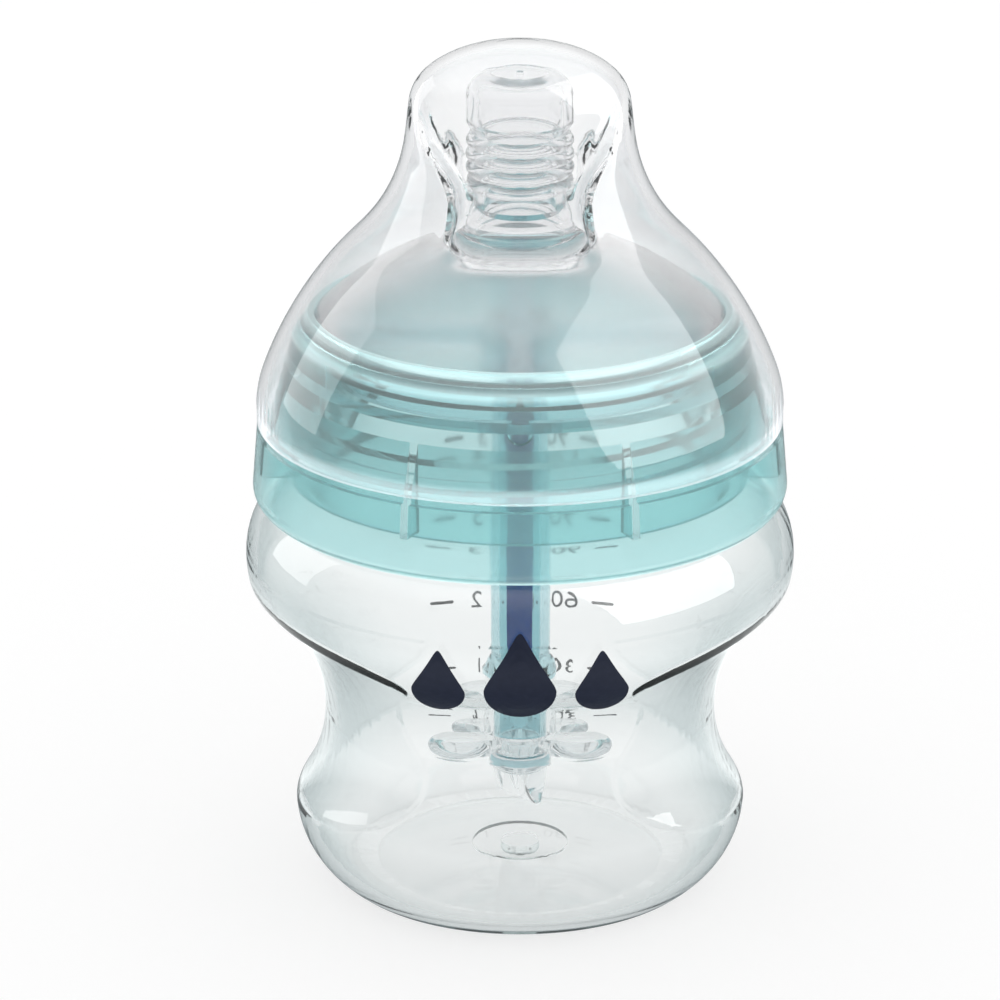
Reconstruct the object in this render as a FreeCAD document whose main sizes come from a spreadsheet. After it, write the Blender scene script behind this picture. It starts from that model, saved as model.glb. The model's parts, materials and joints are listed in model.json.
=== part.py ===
"""Baby bottle with a vented teat, a screw ring and a travel cap.

The frame: millimetres, +Z up, origin at the middle of the foot, where the bottle stands.
The side grips face +X and -X, and the front of the object faces -Y.
"""
import FreeCAD
import Part
import math
import os

import Sketcher

UP = FreeCAD.Vector(0, 0, 1)
SKETCH_UP = FreeCAD.Vector(0, 1, 0)

# Driving dimensions in millimetres, degrees or plain counts, one alias each.
DIMENSIONS = {
    # Bottle: the rim and the neck, from which the other heights and widths follow.
    "rim_height": 76.8,
    "neck_radius": 28.6,
    "neck_length": 29.8,
    "bottle_wall": 1.6,
    # Bottle: meridian of the barrel, from the foot upwards.
    "base_rise": 2.4,
    "base_dish_radius": 6.6,
    "base_dish_depth": 0.3,
    "base_nub_radius": 2.6,
    "base_nub_drop": 0.5,
    "foot_width": 3.76,
    "foot_round": 3.0,
    "foot_curve": 13.5,
    "bulge_step": 6.4,
    "bulge_height": 11.5,
    "bulge_curve_share": 0.2,
    "waist_step": 1.0,
    "waist_curve": 14.0,
    "shoulder_step": 8.9,
    "shoulder_lower_curve": 16.0,
    "shoulder_upper_curve": 12.0,
    # Bottle: hollow finger grips at the two sides.
    "grip_depth": 4.2,
    "grip_height_share": 0.3662,
    "grip_curve": 22.0,
    "grip_axis_offset": 6.6,
    "grip_edge_round": 3.0,
    # Screw thread shared by the neck and the ring.
    "thread_lead": 5.0,
    "thread_turns": 1.5,
    "thread_depth": 1.15,
    "thread_root_width": 2.4,
    "thread_crest_width": 1.2,
    "thread_drop": 11.8,
    "thread_radial_gap": 0.35,
    "thread_flank_gap": 0.25,
    "thread_overlap": 0.4,
    # Screw ring.
    "ring_skirt_gap": 0.35,
    "ring_skirt_inset": 1.1,
    "ring_skirt_round": 2.2,
    "ring_skirt_wall": 1.5,
    "ring_skirt_draft": 0.75,
    "ring_ledge_drop": 10.5,
    "ring_ledge_width": 1.55,
    "ring_corner_step": 1.7,
    "ring_lip_rise": 2.8,
    "ring_lip_step": 2.0,
    "ring_lip_width": 0.7,
    "ring_roof": 1.8,
    "ring_wall": 1.1,
    "ring_foot_gap": 0.7,
    "ring_pocket_play": 0.3,
    "ring_pocket_drop": 1.4,
    "rib_count": 7,
    "rib_thickness": 1.1,
    "rib_rise": 0.9,
    "rib_first_angle": 38.57,
    "gate_radius": 1.7,
    "gate_depth": 0.5,
    "gate_drop": 4.0,
    # Vent disc, clamped between the bottle's rim and the teat.
    "disc_thickness": 1.8,
    "disc_skirt_wall": 1.2,
    "disc_skirt_drop": 2.4,
    "disc_play": 0.3,
    "spoke_count": 4,
    "spoke_width": 3.4,
    "spoke_height": 2.6,
    "hub_wall": 1.4,
    "hub_drop": 6.9,
    "air_channel_radius": 0.5,
    # Vent tube with its strip.
    "tube_radius": 4.05,
    "tube_bore": 2.75,
    "tube_drop": 3.4,
    "tube_collar_step": 1.0,
    "tube_collar_slope": 2.4,
    "tube_collar_height": 1.0,
    "tube_spigot_radius": 3.55,
    "tube_spigot_length": 6.0,
    "tube_fit": 0.05,
    "strip_width": 3.2,
    "strip_thickness": 0.6,
    "strip_end_gap": 4.6,
    "strip_start_gap": 1.2,
    "strip_forward": 2.0,
    # Star valve: socket, rounded vanes and duckbill.
    "valve_floor_gap": 6.3,
    "valve_socket_wall": 1.25,
    "valve_socket_floor": 3.2,
    "valve_top_gap": 0.1,
    "vane_count": 5,
    "vane_height": 3.0,
    "vane_centre": 8.8,
    "vane_disc_radius": 4.2,
    "vane_neck_width": 5.0,
    "vane_turn": -18.0,
    "bill_length": 8.1,
    "bill_radius": 3.8,
    "bill_lip": 0.9,
    "bill_flank_drop": 0.8,
    "bill_turn": 59.0,
    "bill_bore": 2.6,
    "bill_bore_end": 0.4,
    "bill_tip_wall": 1.4,
    # Teat.
    "teat_flange_step": 0.2,
    "teat_flange_width": 4.3,
    "teat_flange_thickness": 1.4,
    "teat_wall": 1.5,
    "teat_collar_play": 0.3,
    "teat_collar_rise": 1.6,
    "teat_dome_curve": 40.0,
    "teat_dome_rise": 9.6,
    "teat_ring_radius": 8.5,
    "teat_ring_thickness": 1.2,
    "teat_base_radius": 7.4,
    "teat_base_rise": 4.0,
    "teat_neck_radius": 6.3,
    "teat_neck_rise": 3.5,
    "teat_rib_count": 4,
    "teat_rib_pitch": 1.95,
    "teat_rib_rise": 0.8,
    "teat_tip_radius": 7.1,
    "teat_tip_length": 8.1,
    "teat_tip_round": 3.2,
    "teat_hole_radius": 0.5,
    # Travel cap.
    "cap_wall": 1.2,
    "cap_seat_gap": 0.05,
    "cap_rim_inset": 0.05,
    "cap_belly_swell": 0.2,
    "cap_belly_rise": 2.1,
    "cap_belly_curve": 12.0,
    "cap_belly_height": 4.1,
    "cap_side_curve": 51.8,
    "cap_side_rise": 19.5,
    "cap_flare_curve": 23.7,
    "cap_flare_rise": 14.6,
    "knob_edge_step": 0.36,
    "knob_half_depth": 9.4,
    "knob_shoulder_rise": 3.9,
    "knob_crown": 8.5,
    # Thumb notches at the front and the back of the knob.
    "notch_floor_rise": 2.3,
    "notch_half_width": 7.7,
    "notch_curve": 5.6,
    "notch_narrow_rise": 5.1,
    "notch_foot_angle": 40.0,
    "notch_lean_angle": 35.0,
}


class Size:
    """A number together with the spreadsheet expression that gives it."""

    def __init__(self, value, text):
        self.value = float(value)
        self.text = text

    def __add__(self, other):
        other = as_size(other)
        return Size(self.value + other.value, "(" + self.text + " + " + other.text + ")")

    def __sub__(self, other):
        other = as_size(other)
        return Size(self.value - other.value, "(" + self.text + " - " + other.text + ")")

    def __mul__(self, other):
        other = as_size(other)
        return Size(self.value * other.value, "(" + self.text + " * " + other.text + ")")

    def __truediv__(self, other):
        other = as_size(other)
        return Size(self.value / other.value, "(" + self.text + " / " + other.text + ")")

    def __neg__(self):
        return Size(-self.value, "(0 - " + self.text + ")")


def as_size(thing):
    return thing if isinstance(thing, Size) else Size(thing, "(" + repr(float(thing)) + ")")


def root(size):
    return Size(math.sqrt(size.value), "sqrt(" + size.text + ")")


def sine(angle):
    return Size(math.sin(math.radians(angle.value)), "sin(" + angle.text + ")")


def cosine(angle):
    return Size(math.cos(math.radians(angle.value)), "cos(" + angle.text + ")")


def square(size):
    return as_size(size) * as_size(size)


def cosine_for(sine_size):
    """The cosine of an angle whose sine is known."""
    return root(as_size(1) - square(sine_size))


class Dimensions:
    """The spreadsheet's cells as attributes: dim.neck_radius and so on."""

    def __init__(self, document):
        self.sheet = document.addObject("Spreadsheet::Sheet", "dims")
        self.rows = 0
        for alias, number in DIMENSIONS.items():
            self.add(alias, str(number), number)
        settle_bottle(self)
        settle_ring_and_teat(self)
        settle_tube_and_valve(self)
        settle_cap(self)
        document.recompute()

    def add(self, alias, content, value):
        self.rows += 1
        cell = "B" + str(self.rows)
        self.sheet.set("A" + str(self.rows), alias.replace("_", " "))
        self.sheet.set(cell, content)
        self.sheet.setAlias(cell, alias)
        setattr(self, alias, Size(value, "dims." + alias))

    def derive(self, **sizes):
        """Add cells that are worked out from the cells above them."""
        for alias, size in sizes.items():
            self.add(alias, "=" + size.text.replace("dims.", ""), size.value)


def settle_bottle(dim):
    """Widths of the barrel from the neck, and its heights from the rim."""
    dim.derive(
        shoulder_radius=dim.neck_radius + dim.shoulder_step,
        shoulder_height=dim.rim_height - dim.neck_length,
        thread_start=dim.rim_height - dim.thread_drop,
        upper_span=dim.waist_curve + dim.shoulder_lower_curve,
    )
    dim.derive(
        crown_radius=dim.shoulder_radius - dim.shoulder_upper_curve,
        bulge_radius=dim.shoulder_radius - dim.bulge_step,
    )
    dim.derive(waist_radius=dim.bulge_radius - dim.waist_step)
    dim.derive(upper_step=dim.shoulder_radius - dim.waist_radius)
    upper_rise = root(square(dim.upper_span) - square(dim.upper_span - dim.upper_step))
    dim.derive(waist_height=dim.shoulder_height - upper_rise)
    dim.derive(lower_rise=dim.waist_height - dim.bulge_height)
    dim.derive(lower_span=(square(dim.lower_rise) + square(dim.waist_step)) / (dim.waist_step * 2))
    barrel_rise = dim.shoulder_height - dim.bulge_height
    dim.derive(
        bulge_curve=dim.lower_span * dim.bulge_curve_share,
        grip_depth_radius=dim.bulge_radius - dim.grip_depth,
        grip_height=dim.bulge_height + barrel_rise * dim.grip_height_share,
        foot_span=dim.foot_curve - dim.foot_round,
        foot_centre=dim.bulge_radius - dim.foot_curve,
    )
    foot_reach = root(square(dim.foot_span) - square(dim.bulge_height - dim.foot_round))
    dim.derive(foot_radius=dim.foot_centre + foot_reach)
    dim.derive(base_dimple_radius=dim.foot_radius - dim.foot_width)


def settle_ring_and_teat(dim):
    """The teat's flange lies on the rim, the ring closes over it, and its skirt ends at the shoulder."""
    dim.derive(
        flange_bottom=dim.rim_height + dim.disc_thickness,
        teat_flange_radius=dim.neck_radius + dim.teat_flange_step,
    )
    dim.derive(
        flange_top=dim.flange_bottom + dim.teat_flange_thickness,
        teat_flange_inner=dim.teat_flange_radius - dim.teat_flange_width,
        ring_pocket_radius=dim.teat_flange_radius + dim.ring_pocket_play,
        ring_pocket_bottom=dim.rim_height - dim.ring_pocket_drop,
        ring_skirt_radius=dim.shoulder_radius - dim.ring_skirt_inset,
        ring_ledge_height=dim.rim_height - dim.ring_ledge_drop,
        ring_corner_radius=dim.neck_radius + dim.ring_corner_step,
    )
    dim.derive(
        ring_lip_height=dim.flange_top + dim.ring_roof,
        ring_lip_radius=dim.ring_corner_radius - dim.ring_lip_step,
        ring_ledge_radius=dim.ring_skirt_radius - dim.ring_skirt_draft,
        ring_skirt_inner=dim.ring_skirt_radius - dim.ring_skirt_wall,
    )
    skirt_reach = dim.ring_skirt_inner - dim.crown_radius
    skirt_rise = root(square(dim.shoulder_upper_curve + dim.ring_skirt_gap) - square(skirt_reach))
    foot_rise = root(square(dim.shoulder_upper_curve) - square(dim.neck_radius - dim.crown_radius))
    dim.derive(
        ring_corner_height=dim.ring_lip_height - dim.ring_lip_rise,
        ring_mouth_radius=dim.ring_lip_radius - dim.ring_lip_width,
        ring_cone_radius=dim.ring_ledge_radius - dim.ring_ledge_width,
        ring_skirt_bottom=dim.shoulder_height + skirt_rise,
        ring_inner_bottom=dim.shoulder_height + foot_rise + dim.ring_foot_gap,
        teat_collar_height=dim.flange_top + dim.teat_collar_rise,
    )
    dim.derive(
        rib_bottom=dim.ring_inner_bottom + dim.rib_rise,
        gate_height=dim.ring_corner_height - dim.gate_drop,
        teat_collar_radius=dim.ring_mouth_radius - dim.teat_collar_play,
        teat_ring_height=dim.teat_collar_height + dim.teat_dome_rise,
    )
    dim.derive(teat_base_height=dim.teat_ring_height + dim.teat_base_rise)
    dim.derive(teat_rib_bottom=dim.teat_base_height + dim.teat_neck_rise)
    dim.derive(teat_tip_bottom=dim.teat_rib_bottom + dim.teat_rib_pitch * dim.teat_rib_count)
    dim.derive(teat_tip_height=dim.teat_tip_bottom + dim.teat_tip_length)


def settle_tube_and_valve(dim):
    """The tube runs from the disc's hub down to the valve, which stays clear of the bottle's floor."""
    dim.derive(
        hub_bottom=dim.rim_height - dim.hub_drop,
        tube_top=dim.rim_height - dim.tube_drop,
        hub_radius=dim.tube_radius + dim.tube_fit + dim.hub_wall,
        bill_tip=dim.base_rise + dim.bottle_wall + dim.valve_floor_gap,
        valve_socket_radius=dim.tube_spigot_radius + dim.tube_fit + dim.valve_socket_wall,
        tube_collar_radius=dim.tube_radius + dim.tube_collar_step,
    )
    dim.derive(valve_bottom=dim.bill_tip + dim.bill_length)
    dim.derive(
        bill_top=dim.valve_bottom - dim.bill_flank_drop,
        tube_spigot_bottom=dim.valve_bottom + dim.valve_socket_floor,
    )
    dim.derive(tube_collar_bottom=dim.tube_spigot_bottom + dim.tube_spigot_length)
    dim.derive(
        tube_collar_edge=dim.tube_collar_bottom + dim.tube_collar_height,
        strip_bottom=dim.tube_collar_bottom + dim.strip_start_gap,
    )
    dim.derive(
        tube_collar_top=dim.tube_collar_edge + dim.tube_collar_slope,
        strip_length=dim.tube_top - dim.strip_end_gap - dim.strip_bottom,
    )


def settle_cap(dim):
    """Centres of the cap's curves, each running into the next, from its seat on the ring's ledge up."""
    dim.derive(cap_rim_radius=dim.ring_ledge_radius - dim.cap_rim_inset)
    dim.derive(
        cap_belly_radius=dim.cap_rim_radius + dim.cap_belly_swell,
        cap_belly_up=dim.ring_ledge_height + dim.cap_belly_rise,
        cap_belly_sine=dim.cap_belly_height / dim.cap_belly_curve,
        cap_side_step=dim.cap_side_curve - dim.cap_belly_curve,
        cap_flare_step=dim.cap_side_curve + dim.cap_flare_curve,
    )
    dim.derive(
        cap_belly_across=dim.cap_belly_radius - dim.cap_belly_curve,
        cap_side_up=dim.cap_belly_up - dim.cap_side_step * dim.cap_belly_sine,
        cap_side_top=dim.cap_belly_up + dim.cap_belly_height + dim.cap_side_rise,
    )
    dim.derive(
        cap_side_across=dim.cap_belly_across - dim.cap_side_step * cosine_for(dim.cap_belly_sine),
        cap_side_sine=(dim.cap_side_top - dim.cap_side_up) / dim.cap_side_curve,
        cap_flare_top=dim.cap_side_top + dim.cap_flare_rise,
        notch_floor=dim.cap_side_top + dim.notch_floor_rise,
    )
    dim.derive(
        cap_flare_across=dim.cap_side_across + dim.cap_flare_step * cosine_for(dim.cap_side_sine),
        cap_flare_up=dim.cap_side_up + dim.cap_flare_step * dim.cap_side_sine,
        knob_shoulder_height=dim.cap_flare_top + dim.knob_shoulder_rise,
        notch_narrow_height=dim.notch_floor + dim.notch_narrow_rise,
    )
    dim.derive(cap_flare_sine=(dim.cap_flare_up - dim.cap_flare_top) / dim.cap_flare_curve)
    flare_end = dim.cap_flare_across - dim.cap_flare_curve * cosine_for(dim.cap_flare_sine)
    dim.derive(knob_half_width=flare_end - dim.knob_edge_step)


def bind(thing, **sizes):
    """Bind properties of a document object to sizes."""
    for name, size in sizes.items():
        thing.setExpression(name, as_size(size).text)


def place(thing, prefix, **offsets):
    """Bind the coordinates of a placement to sizes."""
    for axis, size in offsets.items():
        thing.setExpression(prefix + ".Base." + axis, as_size(size).text)


def origin_part(body, role):
    return next(part for part in body.Origin.OriginFeatures if part.Role == role)


class Outline:
    """A closed sketch of lines and arcs whose corners and radii are bound to sizes."""

    def __init__(self, body, name, plane="XZ_Plane"):
        self.sketch = body.newObject("Sketcher::SketchObject", name)
        self.sketch.AttachmentSupport = [(origin_part(body, plane), "")]
        self.sketch.MapMode = "FlatFace"
        self.corners = []
        self.runs = []

    def start(self, across, up):
        self.corners.append((as_size(across), as_size(up)))
        return self

    def line(self, across, up):
        self.runs.append(None)
        return self.start(across, up)

    def arc(self, across, up, radius, turn):
        """An arc to the corner; turn is 1 to the left of the way along it, -1 to the right."""
        self.runs.append((as_size(radius), turn))
        return self.start(across, up)

    def close(self):
        self.runs.append(None)
        count = len(self.corners)
        points = [FreeCAD.Vector(x.value, y.value, 0) for x, y in self.corners]
        rules = []
        for index, run in enumerate(self.runs):
            first = points[index]
            last = points[(index + 1) % count]
            self.sketch.addGeometry(run_curve(first, last, run))
        for index in range(count):
            following = (index + 1) % count
            ends = (index, self.end_of(index, 1), following, self.end_of(following, 0))
            rules.append(Sketcher.Constraint("Coincident", *ends))
        bindings = []
        for index, corner in enumerate(self.corners):
            point = (index, self.end_of(index, 0))
            for kind, axis_line, size in (("DistanceX", -2, corner[0]), ("DistanceY", -1, corner[1])):
                if size.value == 0:
                    rules.append(Sketcher.Constraint("PointOnObject", *point, axis_line))
                else:
                    bindings.append((len(rules), size))
                    rules.append(Sketcher.Constraint(kind, -1, 1, *point, size.value))
        for index, run in enumerate(self.runs):
            if run:
                bindings.append((len(rules), run[0]))
                rules.append(Sketcher.Constraint("Radius", index, run[0].value))
        self.sketch.addConstraint(rules)
        for rule, size in bindings:
            self.sketch.setExpression("Constraints[" + str(rule) + "]", size.text)
        return self.sketch

    def end_of(self, index, last):
        """The number of a run's first or last point: arcs always run counterclockwise."""
        run = self.runs[index]
        backwards = run is not None and run[1] < 0
        return 2 if bool(last) != backwards else 1


def run_curve(first, last, run):
    if run is None:
        return Part.LineSegment(first, last)
    radius, turn = run
    chord = last.sub(first)
    rise = math.sqrt(max(radius.value ** 2 - chord.Length ** 2 / 4, 0))
    side = UP.cross(chord).normalize().multiply(rise * turn)
    centre = first.add(chord.multiply(0.5)).add(side)
    begin, end = (first, last) if turn > 0 else (last, first)
    angles = [math.atan2(point.y - centre.y, point.x - centre.x) for point in (begin, end)]
    if angles[1] < angles[0]:
        angles[1] += 2 * math.pi
    return Part.ArcOfCircle(Part.Circle(centre, UP, radius.value), *angles)


def new_body(document, name):
    body = document.addObject("PartDesign::Body", name)
    body.Label = name
    return body


def revolve(body, sketch, name):
    feature = body.newObject("PartDesign::Revolution", name)
    feature.Profile = sketch
    feature.ReferenceAxis = (sketch, ["V_Axis"])
    feature.Angle = 360
    sketch.Visibility = False
    return feature


def primitive(body, kind, name, plane="XY_Plane", **sizes):
    feature = body.newObject("PartDesign::" + kind, name)
    feature.AttachmentSupport = [(origin_part(body, plane), "")]
    feature.MapMode = "FlatFace"
    bind(feature, **sizes)
    return feature


def polar_pattern(body, name, features, count):
    pattern = body.newObject("PartDesign::PolarPattern", name)
    pattern.Originals = features
    pattern.Axis = (origin_part(body, "Z_Axis"), [""])
    pattern.Angle = 360
    bind(pattern, Occurrences=count)
    body.Tip = pattern
    return pattern


def turn_sketch(sketch, angle):
    """Turn an upright sketch about the object's upright axis."""
    sketch.AttachmentOffset = FreeCAD.Placement(FreeCAD.Vector(), FreeCAD.Rotation(SKETCH_UP, 0))
    bind(sketch, **{"AttachmentOffset.Rotation.Angle": angle})


def thread_ridge(body, name, dim, base_radius, inward, start):
    """A trapezoid ridge wound round Z; it stands out of a wall at base_radius."""
    sign = -1 if inward else 1
    foot = as_size(base_radius) - dim.thread_overlap * sign
    crest = as_size(base_radius) + dim.thread_depth * sign
    outline = Outline(body, name + "_section")
    outline.start(foot, start - dim.thread_root_width / 2)
    outline.line(foot, start + dim.thread_root_width / 2)
    outline.line(crest, start + dim.thread_crest_width / 2)
    outline.line(crest, start - dim.thread_crest_width / 2)
    sketch = outline.close()
    helix = body.newObject("PartDesign::AdditiveHelix", name)
    helix.Profile = sketch
    helix.ReferenceAxis = (sketch, ["V_Axis"])
    helix.Mode = "pitch-turns-angle"
    helix.HasBeenEdited = True
    helix.LeftHanded = False
    bind(helix, Pitch=dim.thread_lead, Turns=dim.thread_turns)
    return helix


def bottle_form(document, name, dim, inset, top):
    """The barrel with its two grips, drawn in by inset: the outside, or the hollow within it."""
    inset = as_size(inset)
    body = new_body(document, name)
    foot_share = (dim.foot_curve - inset) / dim.foot_span
    foot_joint_x = dim.foot_centre + (dim.foot_radius - dim.foot_centre) * foot_share
    foot_joint_z = dim.bulge_height + (dim.foot_round - dim.bulge_height) * foot_share

    shoulder_x = dim.shoulder_radius - dim.shoulder_lower_curve
    shoulder_share = (dim.shoulder_lower_curve - inset) / dim.upper_span
    upper_joint_x = shoulder_x + (dim.upper_span - dim.upper_step) * shoulder_share
    upper_joint_z = dim.shoulder_height + (dim.waist_height - dim.shoulder_height) * shoulder_share

    lower_curve = dim.lower_span - dim.bulge_curve
    bulge_x = dim.bulge_radius - dim.bulge_curve
    bulge_share = (dim.bulge_curve - inset) / dim.lower_span
    lower_joint_x = bulge_x + (dim.lower_span - dim.waist_step) * bulge_share
    lower_joint_z = dim.bulge_height + dim.lower_rise * bulge_share

    neck = dim.neck_radius - inset
    neck_rise = root(square(dim.shoulder_upper_curve - inset) - square(neck - dim.crown_radius))
    neck_z = dim.shoulder_height + neck_rise
    dimple_curve = (square(dim.base_dimple_radius) + square(dim.base_rise)) / (dim.base_rise * 2)

    outline = Outline(body, name + "_meridian")
    outline.start(0, dim.base_rise + inset)
    outline.arc(dim.base_dimple_radius, inset, dimple_curve, -1)
    outline.line(dim.foot_radius, inset)
    outline.arc(foot_joint_x, foot_joint_z, dim.foot_round - inset, 1)
    outline.arc(dim.bulge_radius - inset, dim.bulge_height, dim.foot_curve - inset, 1)
    outline.arc(lower_joint_x, lower_joint_z, dim.bulge_curve - inset, 1)
    outline.arc(dim.waist_radius - inset, dim.waist_height, lower_curve + inset, -1)
    outline.arc(upper_joint_x, upper_joint_z, dim.waist_curve + inset, -1)
    outline.arc(dim.shoulder_radius - inset, dim.shoulder_height, dim.shoulder_lower_curve - inset, 1)
    outline.arc(neck, neck_z, dim.shoulder_upper_curve - inset, 1)
    outline.line(neck, top)
    outline.line(0, top)
    revolve(body, outline.close(), name + "_barrel")
    major = dim.grip_depth_radius + dim.grip_curve + dim.grip_axis_offset
    for side, offset in (("right", -dim.grip_axis_offset), ("left", dim.grip_axis_offset)):
        grip = primitive(
            body, "SubtractiveTorus", name + "_grip_" + side,
            Radius1=major, Radius2=dim.grip_curve + inset,
        )
        place(grip, "AttachmentOffset", x=offset, z=dim.grip_height)
    document.recompute()
    round_grip_edges(body, name, dim, inset, major)
    return body


def round_grip_edges(body, name, dim, inset, major):
    """Round the rim of each grip, where its saddle meets the barrel."""
    form = body.Tip
    names = []
    for number, edge in enumerate(form.Shape.Edges, start=1):
        faces = form.Shape.ancestorsOfType(edge, Part.Face)
        saddles = [face for face in faces if is_saddle(face, major.value)]
        if len(faces) == 2 and len(saddles) == 1:
            names.append("Edge" + str(number))
    fillet = body.newObject("PartDesign::Fillet", name + "_grip_rims")
    fillet.Base = (form, names)
    bind(fillet, Radius=dim.grip_edge_round - inset)
    body.Tip = fillet


def is_saddle(face, major):
    surface = face.Surface
    return surface.TypeId == "Part::GeomToroid" and abs(surface.MajorRadius - major) < 0.001


def mark_base(body, dim):
    """The round dish, and the nub in it, that the mould leaves under the base."""
    primitive(
        body, "SubtractiveCylinder", "base_dish",
        Radius=dim.base_dish_radius, Height=dim.base_rise + dim.base_dish_depth,
    )
    nub = primitive(
        body, "AdditiveCylinder", "base_nub",
        Radius=dim.base_nub_radius, Height=dim.base_nub_drop + dim.bottle_wall / 2,
    )
    place(nub, "AttachmentOffset", z=dim.base_rise - dim.base_nub_drop)


def make_bottle(document, dim):
    outside = bottle_form(document, "bottle_outside", dim, 0, dim.rim_height)
    mark_base(outside, dim)
    thread_ridge(outside, "neck_thread", dim, dim.neck_radius, False, dim.thread_start)
    above_rim = dim.rim_height + dim.bottle_wall
    hollow = bottle_form(document, "bottle_hollow", dim, dim.bottle_wall, above_rim)
    bottle = document.addObject("Part::Cut", "bottle_body")
    bottle.Base = outside
    bottle.Tool = hollow
    return bottle


def make_ring(document, dim):
    body = new_body(document, "screw_ring")
    thread_wall = dim.neck_radius + dim.thread_depth + dim.thread_radial_gap
    inner_wall = thread_wall + dim.ring_wall
    ledge_inner = dim.ring_ledge_radius - dim.ring_skirt_wall
    ledge_bottom = dim.ring_ledge_height - dim.ring_skirt_wall
    cone_inner = dim.ring_cone_radius - dim.ring_wall
    cone_run = dim.ring_cone_radius - dim.ring_corner_radius
    cone_slope = cone_run / (dim.ring_corner_height - dim.ring_ledge_height)
    cleft_top = dim.ring_ledge_height + (cone_inner - inner_wall) / cone_slope
    skirt_edge = dim.ring_skirt_bottom + dim.ring_skirt_round

    outline = Outline(body, "ring_meridian")
    outline.start(dim.ring_skirt_inner, dim.ring_skirt_bottom)
    outline.arc(dim.ring_skirt_radius, skirt_edge, dim.ring_skirt_round, 1)
    outline.line(dim.ring_ledge_radius, dim.ring_ledge_height)
    outline.line(dim.ring_cone_radius, dim.ring_ledge_height)
    outline.line(dim.ring_corner_radius, dim.ring_corner_height)
    outline.line(dim.ring_lip_radius, dim.ring_lip_height)
    outline.line(dim.ring_mouth_radius, dim.ring_lip_height)
    outline.line(dim.ring_mouth_radius, dim.flange_top)
    outline.line(dim.ring_pocket_radius, dim.flange_top)
    outline.line(dim.ring_pocket_radius, dim.ring_pocket_bottom)
    outline.line(thread_wall, dim.ring_pocket_bottom - dim.ring_wall)
    outline.line(thread_wall, dim.ring_inner_bottom)
    outline.line(inner_wall, dim.ring_inner_bottom)
    outline.line(inner_wall, cleft_top)
    outline.line(cone_inner, dim.ring_ledge_height)
    outline.line(cone_inner, ledge_bottom)
    outline.line(ledge_inner, ledge_bottom)
    outline.line(dim.ring_skirt_inner, skirt_edge)
    revolve(body, outline.close(), "ring_shell")

    gate = primitive(
        body, "SubtractiveCylinder", "gate_recess", "XZ_Plane",
        Radius=dim.gate_radius, Height=dim.ring_skirt_wall + dim.gate_depth,
    )
    gate_surface = dim.ring_cone_radius - cone_slope * (dim.gate_height - dim.ring_ledge_height)
    place(gate, "AttachmentOffset", y=dim.gate_height, z=gate_surface - dim.gate_depth)

    rib_inner = thread_wall + dim.ring_wall / 2
    rib_outer = dim.ring_skirt_inner + dim.ring_skirt_wall / 2
    rib_section = Outline(body, "rib_section")
    rib_section.start(rib_inner, dim.rib_bottom)
    rib_section.line(rib_outer - dim.ring_wall, dim.rib_bottom)
    rib_section.line(rib_outer, dim.rib_bottom + dim.ring_wall)
    rib_section.line(rib_outer - dim.ring_wall / 2, ledge_bottom + dim.ring_wall / 2)
    rib_section.line(cone_inner + dim.ring_wall / 2, ledge_bottom + dim.ring_wall)
    rib_section.line(inner_wall + dim.ring_wall / 4, cleft_top)
    rib_section.line(rib_inner, cleft_top)
    sketch = rib_section.close()
    turn_sketch(sketch, dim.rib_first_angle)
    rib = body.newObject("PartDesign::Pad", "rib")
    rib.Profile = sketch
    rib.Midplane = True
    bind(rib, Length=dim.rib_thickness)
    polar_pattern(body, "ribs", [rib], dim.rib_count)

    mean_width = (dim.thread_root_width + dim.thread_crest_width) / 2
    flank_drop = mean_width - slope_loss(dim) + dim.thread_flank_gap
    thread_ridge(body, "ring_thread", dim, thread_wall, True, dim.thread_start - flank_drop)
    return body


def slope_loss(dim):
    """How much narrower the two ridges are together where they pass each other."""
    return dim.thread_radial_gap * (dim.thread_root_width - dim.thread_crest_width) / (dim.thread_depth * 2)


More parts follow.
